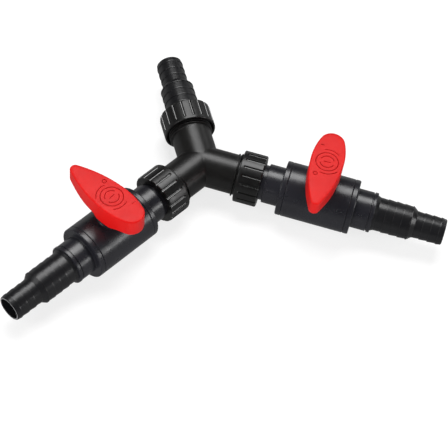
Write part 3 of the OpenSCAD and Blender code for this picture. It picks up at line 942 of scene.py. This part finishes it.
def round_hub():
    """Hub with the square socket that takes the stem."""
    shell = Shell()
    count = 96
    angles = [2 * math.pi * i / count for i in range(count)]
    half = STEM_SOCKET_HALF
    bottom = STEM_TOP + 0.3

    def ring(r, z):
        return [(r * math.cos(a), r * math.sin(a), z) for a in angles]

    def square(size, z):
        """Square with rounded corners, on the same spokes as the rings."""
        points = []
        for a in angles:
            c, s = math.cos(a), math.sin(a)
            r = size / (abs(c) ** 12 + abs(s) ** 12) ** (1 / 12)
            points.append((r * c, r * s, z))
        return points

    loops = [shell.loop(p) for p in (
        ring(HUB_R, HUB_TO), ring(HUB_R, HUB_FROM + 0.5), ring(HUB_R - 0.15, HUB_FROM + 0.15),
        ring(HUB_R - 0.5, HUB_FROM), square(half + 0.4, HUB_FROM), square(half, HUB_FROM + 0.4),
        square(half, bottom))]
    shell.strip(loops)
    shell.cap(loops[0], (0, 0, HUB_TO))
    shell.cap(loops[-1], (0, 0, bottom))
    return shell


def stop_lug():
    """Wedge under the handle that strikes the stop ring at closed and at open."""
    shell = Shell()
    first, last = math.radians(LUG_AT - LUG_ANGLE / 2), math.radians(LUG_AT + LUG_ANGLE / 2)
    low, high = HUB_FROM, STOP_TOP + 3
    turns = np.linspace(first, last, 9)
    outline = [(HUB_R - 1) * np.array((math.cos(a), math.sin(a))) for a in turns]
    outline += [LUG_R * np.array((math.cos(a), math.sin(a))) for a in reversed(turns)]
    middle = sum(outline) / len(outline)
    edge = [(0.9, 0.0), (0.97, 0.1), (1.0, 0.35)]
    rings = [(scale, low + inset) for scale, inset in edge]
    rings += [(scale, high - inset) for scale, inset in reversed(edge)]
    loops = [shell.loop([(*(middle + (p - middle) * scale), z) for p in outline]) for scale, z in rings]
    shell.strip(loops)
    shell.faces += [tuple(loops[0]), tuple(loops[-1])]
    return shell


def rib(y_from, y_to, half=0.7):
    """Stiffening rib under the top, along the middle line."""
    shell = Shell()
    section = rounded([(-half, HUB_TO, 0), (-half, RIB_FROM, 0.35), (half, RIB_FROM, 0.35),
                       (half, HUB_TO, 0)])
    loops = [shell.loop([(x, y, z) for x, z in section]) for y in (y_from, y_to)]
    shell.strip(loops)
    shell.faces += [tuple(loops[0]), tuple(loops[1])]
    return shell


def bead(path, radius=0.42, closed=False):
    """Raised moulded line on the handle's top along a path of (x, y) points."""
    shell = Shell()
    count = len(path)
    turns = [2 * math.pi * k / 8 for k in range(8)]
    loops = []
    for i, (x, y) in enumerate(path):
        before = path[(i - 1) % count] if closed or i else path[0]
        after = path[(i + 1) % count] if closed or i < count - 1 else path[-1]
        along = np.array((after[0] - before[0], after[1] - before[1]), float)
        along /= np.linalg.norm(along)
        loops.append(shell.loop([(x - along[1] * radius * math.cos(a), y + along[0] * radius * math.cos(a),
                                  HANDLE_TOP - MARK_SINK + MARK_HEIGHT * math.sin(a)) for a in turns]))
    shell.strip(loops, closed=closed)
    if not closed:
        shell.faces += [tuple(loops[0]), tuple(loops[-1])]
    return shell


def curve(r, first, last, steps=24):
    """Arc about the stem with both its ends."""
    return arc(0, 0, r, first, last, steps) + arc(0, 0, r, last, last + 1, 1)


def emblem():
    """Plain mark in place of a maker's one: rings and arcs about the stem, a small ring for
    open and a bar for closed."""
    x, y = CLOSED_SIGN
    return [bead(arc(0, 0, MARK_RING_R, 0, 360, 64), 0.4, closed=True),
            bead(curve(MARK_INNER_R, 20, 160)),
            bead(curve(MARK_INNER_R, 200, 340)),
            bead([(-MARK_BAR_HALF, 0), (MARK_BAR_HALF, 0)], 0.4),
            bead(curve(MARK_OUTER_R, 229, 292), 0.36),
            bead(curve(MARK_OUTER_R, 73, 144), 0.36),
            bead(arc(*OPEN_SIGN, OPEN_SIGN_R, 0, 360, 24), 0.3, closed=True),
            bead([(x - CLOSED_SIGN_HALF, y), (x + CLOSED_SIGN_HALF, y)], 0.3)]


def make_handle(arm):
    shells = [handle_shell(), round_hub(), stop_lug()] + [rib(*span) for span in RIBS] + emblem()
    piece = make_piece(f"{arm}_lever", shells, stem_place(arm), RED, f"{arm}_lever", f"{arm}_handle",
                       merge=True, crease=38)
    to_stem = stem_place(arm).inverted()
    # The tops of the emblem's raised lines get the darker red, a painted shade.
    refinish(piece, RED_MARK_SHADE, lambda centre: (to_stem @ centre).z > HANDLE_TOP + 0.005)


# ---- Stage, light and camera -------------------------------------------------------
def direction(azimuth, elevation):
    """Unit vector towards a place seen at that azimuth and elevation."""
    a, e = math.radians(azimuth), math.radians(elevation)
    return Vector((math.sin(a) * math.cos(e), -math.cos(a) * math.cos(e), math.sin(e)))


def look(obj, target, roll=0.0):
    """Turns a camera or light to face a target."""
    away = (obj.location - target).normalized()
    obj.rotation_euler = (away.to_track_quat("Z", "Y").to_matrix().to_4x4()
                          @ Matrix.Rotation(math.radians(roll), 4, "Z")).to_euler()


def make_camera():
    """Camera at the angle from which the fitting is shown."""
    data = bpy.data.cameras.new("camera")
    camera = bpy.data.objects.new("camera", data)
    bpy.context.scene.collection.objects.link(camera)
    aim = CENTRE + AIM * MM
    camera.location = aim + direction(CAMERA_AZIMUTH, CAMERA_ELEVATION) * CAMERA_DISTANCE * MM
    look(camera, aim, CAMERA_ROLL)
    data.sensor_width = 36
    data.lens = CAMERA_LENS
    data.clip_start = 0.01
    data.clip_end = 20
    bpy.context.scene.camera = camera


def make_floor():
    """Pale paper just under the fitting. It glows a little, as an overexposed backdrop does, and the
    glossy plastic doesn't mirror it."""
    size = 6.0
    mesh = bpy.data.meshes.new("floor")
    corners = [(-size, -size, 0), (size, -size, 0), (size, size, 0), (-size, size, 0)]
    mesh.from_pydata(corners, [], [(0, 1, 2, 3)])
    floor = bpy.data.objects.new("floor", mesh)
    floor.location = (0, 0, cad_box[0][2] - 0.0002)
    bpy.context.scene.collection.objects.link(floor)
    n = Nodes("floor_paper")
    n.link(n.blend(n.noise(120, 2), (0.30, 0.30, 0.30), (0.31, 0.31, 0.31)), n.shader.inputs["Base Color"])
    n.shader.inputs["Roughness"].default_value = 0.9
    n.shader.inputs["Specular IOR Level"].default_value = 0.1
    n.shader.inputs["Emission Color"].default_value = (1, 1, 1, 1)
    n.shader.inputs["Emission Strength"].default_value = 0.72
    mesh.materials.append(n.material)
    floor.visible_glossy = False


def softbox(name, azimuth, elevation, distance, width, height, radiance, mirrored=True):
    """Area light whose surface has the given radiance, facing the fitting; unless it is mirrored,
    it lights without showing in the plastic's gloss."""
    data = bpy.data.lights.new(name, "AREA")
    data.shape = "RECTANGLE"
    data.size = width
    data.size_y = height
    data.energy = radiance * width * height * math.pi
    light = bpy.data.objects.new(name, data)
    light.location = CENTRE + direction(azimuth, elevation) * distance
    look(light, CENTRE)
    light.visible_glossy = mirrored
    bpy.context.scene.collection.objects.link(light)


def studio_world():
    """Dim room: near black above, a soft grey from the horizon down, as off a far table top."""
    world = bpy.data.worlds.new("studio")
    world.use_nodes = True
    tree = world.node_tree
    split = tree.nodes.new("ShaderNodeSeparateXYZ")
    tree.links.new(tree.nodes.new("ShaderNodeTexCoord").outputs["Generated"], split.inputs["Vector"])
    height = tree.nodes.new("ShaderNodeMapRange")
    height.inputs["From Min"].default_value = -1
    tree.links.new(split.outputs["Z"], height.inputs["Value"])
    ramp = tree.nodes.new("ShaderNodeValToRGB")
    stops = ((0.0, 0.2), (0.38, 0.42), (0.48, 0.42), (0.56, 0.06))
    while len(ramp.color_ramp.elements) < len(stops):
        ramp.color_ramp.elements.new(0.5)
    for element, (place, grey) in zip(ramp.color_ramp.elements, stops):
        element.position = place
        element.color = (grey, grey, grey, 1)
    tree.links.new(height.outputs["Result"], ramp.inputs["Fac"])
    tree.links.new(ramp.outputs["Color"], tree.nodes["Background"].inputs["Color"])
    bpy.context.scene.world = world


def make_lights():
    """Each softbox: azimuth and elevation in degrees, distance and size in metres, radiance."""
    softbox("key_softbox", 166, 65, 2.2, 1.7, 1.15, 8.6)
    softbox("right_panel", 60, 17, 2.4, 1.0, 0.6, 9.0)
    softbox("back_right_panel", 122, 22, 2.6, 1.0, 0.8, 1.6)
    softbox("left_fill", -85, 38, 2.5, 1.5, 1.2, 3.0)
    softbox("front_fill", -34, 20, 3.0, 1.6, 0.9, 15.0, mirrored=False)


make_camera()
make_floor()
make_lights()
studio_world()
bpy.context.scene.view_settings.view_transform = "Standard"
dress_cad_nodes()
make_y_body()
make_inlet_tail()
for arm_name in ARMS:
    make_nut(arm_name)
for arm_name in ("left", "right"):
    make_union_end(arm_name)
    make_valve_body(arm_name)
    make_socket_end(arm_name)
    make_outlet_tail(arm_name)
    make_handle(arm_name)
